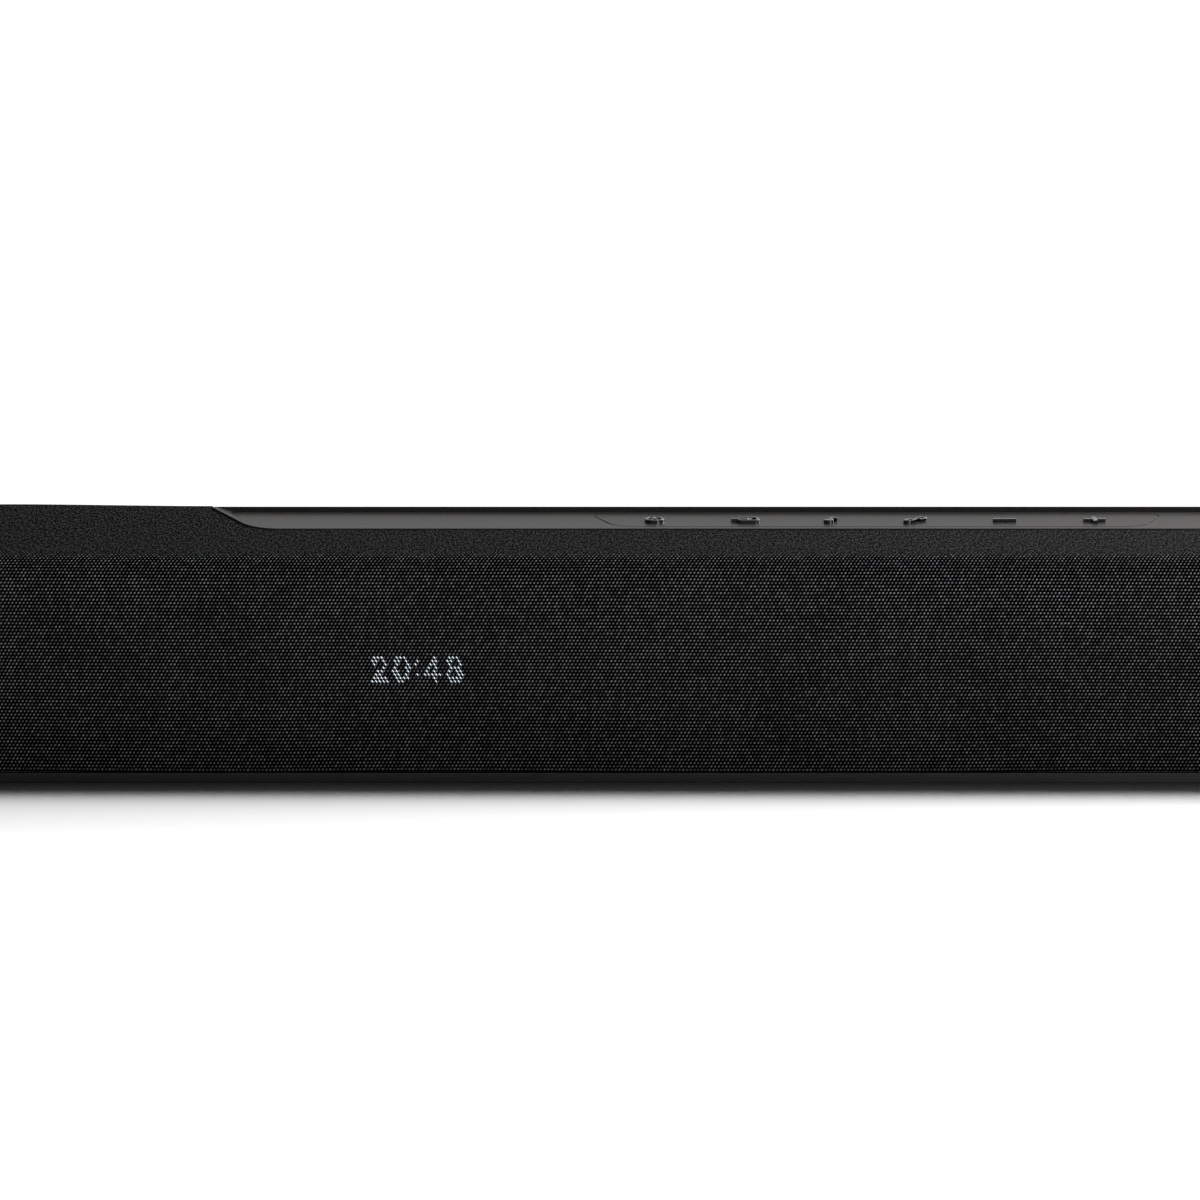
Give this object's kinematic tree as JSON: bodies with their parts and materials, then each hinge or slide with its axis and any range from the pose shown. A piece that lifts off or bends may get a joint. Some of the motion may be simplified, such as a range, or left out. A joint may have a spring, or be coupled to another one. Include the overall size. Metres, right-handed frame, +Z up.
{
  "type": "soundbar",
  "caption": "Long low black soundbar with a fabric grille, a key panel let into its sloped top, hidden display, drivers, and a rear bay of sockets.",
  "frame": {"origin": "under the middle of the bar, on the surface its feet rest on", "axes": "+X towards the right as seen from the front, +Y to the rear, -Y the way the grille faces, +Z up"},
  "size_m": [0.9, 0.115, 0.0655],
  "materials": {
    "grille_cloth": "woven acoustic cloth, matte black",
    "panel": "satin warm grey metallic paint",
    "key": "polished tops, black sides",
    "foot": "matte",
    "screw": "black oxide",
    "cone": "pressed paper pulp",
    "surround": "soft roll",
    "pressed_steel": "plain",
    "magnet": "ferrite and laminations",
    "dome": "doped silk",
    "board": "solder mask",
    "heat_sink": "extruded",
    "silicone": "moulded silicone",
    "lens": "smoked",
    "lamp_block": "lit lamp block",
    "capacitor": "sleeved can",
    "socket": "moulded",
    "inner_plastic": "moulded",
    "case": "fine satin moulding"
  },
  "bodies": {
    "case": {"aux_socket": "socket", "base_chassis": "case", "capacitor_1": "capacitor", "capacitor_2": "capacitor", "connector_bay": "case", "control_tray": "panel", "display_board": "board", "display_window": "lens", "end_cap_left": "case", "end_cap_right": "case", "foot_front_left": "foot", "foot_front_right": "foot", "foot_rear_left": "foot", "foot_rear_right": "foot", "front_baffle": "inner_plastic", "grille_fabric": "grille_cloth", "grille_frame_front": "inner_plastic", "grille_frame_top": "inner_plastic", "heat_sink": "heat_sink", "infrared_receiver": "lens", "key_board": "board", "key_pad": "silicone", "key_strip": "panel", "led_matrix": "lamp_block", "main_board": "board", "optical_socket": "socket", "power_board": "board", "power_inlet": "socket", "rear_panel": "case", "screw_front_left": "screw", "screw_front_right": "screw", "screw_rear_left": "screw", "screw_rear_right": "screw", "service_socket": "socket", "top_panel": "case", "transformer": "magnet", "tweeter_housing_left": "pressed_steel", "tweeter_housing_right": "pressed_steel", "video_socket": "socket", "wireless_module": "pressed_steel", "woofer_basket_centre": "pressed_steel", "woofer_basket_left": "pressed_steel", "woofer_basket_right": "pressed_steel", "woofer_magnet_centre": "magnet", "woofer_magnet_left": "magnet", "woofer_magnet_right": "magnet", "woofer_surround_centre": "surround", "woofer_surround_left": "surround", "woofer_surround_right": "surround"},
    "button_power": {"key_power": "key"},
    "button_source": {"key_source": "key"},
    "button_music": {"key_music": "key"},
    "button_link": {"key_link": "key"},
    "button_volume_down": {"key_volume_down": "key"},
    "button_volume_up": {"key_volume_up": "key"},
    "cone_left": {"woofer_cone_left": "cone"},
    "cone_centre": {"woofer_cone_centre": "cone"},
    "cone_right": {"woofer_cone_right": "cone"},
    "dome_left": {"tweeter_dome_left": "dome"},
    "dome_right": {"tweeter_dome_right": "dome"}
  },
  "joints": [
    {"name": "press_power", "type": "slide", "parent": "case", "child": "button_power", "axis": [0, 0.1771, -0.9842], "range_m": [0, 0.0004], "stiffness_N_per_m": 3000},
    {"name": "press_source", "type": "slide", "parent": "case", "child": "button_source", "axis": [0, 0.1771, -0.9842], "range_m": [0, 0.0004], "stiffness_N_per_m": 3000},
    {"name": "press_music", "type": "slide", "parent": "case", "child": "button_music", "axis": [0, 0.1771, -0.9842], "range_m": [0, 0.0004], "stiffness_N_per_m": 3000},
    {"name": "press_link", "type": "slide", "parent": "case", "child": "button_link", "axis": [0, 0.1771, -0.9842], "range_m": [0, 0.0004], "stiffness_N_per_m": 3000},
    {"name": "press_volume_down", "type": "slide", "parent": "case", "child": "button_volume_down", "axis": [0, 0.1771, -0.9842], "range_m": [0, 0.0004], "stiffness_N_per_m": 3000},
    {"name": "press_volume_up", "type": "slide", "parent": "case", "child": "button_volume_up", "axis": [0, 0.1771, -0.9842], "range_m": [0, 0.0004], "stiffness_N_per_m": 3000},
    {"name": "stroke_left", "type": "slide", "parent": "case", "child": "cone_left", "axis": [0, -1, 0], "range_m": [-0.0015, 0.0015], "stiffness_N_per_m": 1500},
    {"name": "stroke_centre", "type": "slide", "parent": "case", "child": "cone_centre", "axis": [0, -1, 0], "range_m": [-0.0015, 0.0015], "stiffness_N_per_m": 1500},
    {"name": "stroke_right", "type": "slide", "parent": "case", "child": "cone_right", "axis": [0, -1, 0], "range_m": [-0.0015, 0.0015], "stiffness_N_per_m": 1500},
    {"name": "flex_left", "type": "slide", "parent": "case", "child": "dome_left", "axis": [0, -1, 0], "range_m": [-0.0002, 0.0002], "stiffness_N_per_m": 2000},
    {"name": "flex_right", "type": "slide", "parent": "case", "child": "dome_right", "axis": [0, -1, 0], "range_m": [-0.0002, 0.0002], "stiffness_N_per_m": 2000}
  ]
}
